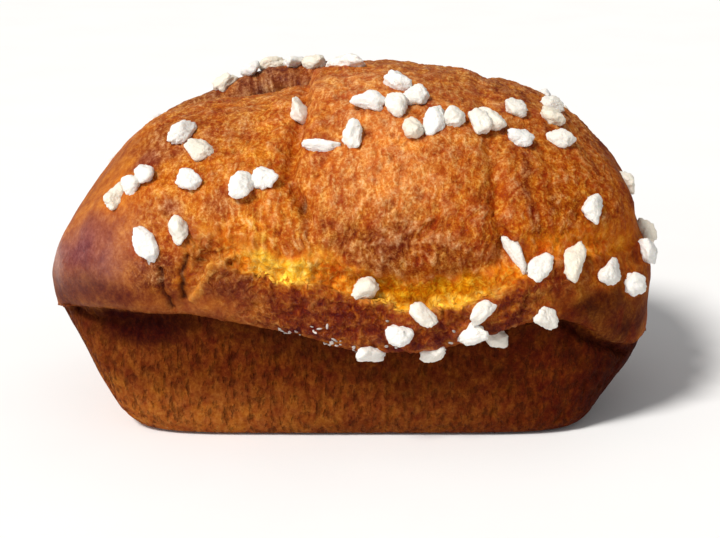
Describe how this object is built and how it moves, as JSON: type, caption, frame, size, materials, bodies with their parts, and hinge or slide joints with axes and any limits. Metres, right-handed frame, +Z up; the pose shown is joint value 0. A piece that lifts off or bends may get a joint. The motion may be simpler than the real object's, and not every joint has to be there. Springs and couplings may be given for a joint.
{
  "type": "brioche loaf",
  "caption": "Small brioche loaf: tapered tin-baked base, overhanging torn lip and a domed crown of joined dough balls scattered with pearl sugar.",
  "frame": {"origin": "middle of the base, on the surface the loaf rests on", "axes": "+X along the loaf to the end with its crown fuller, -Y to the torn front, +Z up"},
  "size_m": [0.159, 0.1062, 0.0914],
  "materials": {
    "crust": "satin",
    "pearl_sugar": "matte"
  },
  "bodies": {
    "root": {"brioche_loaf": "crust"}
  },
  "joints": []
}
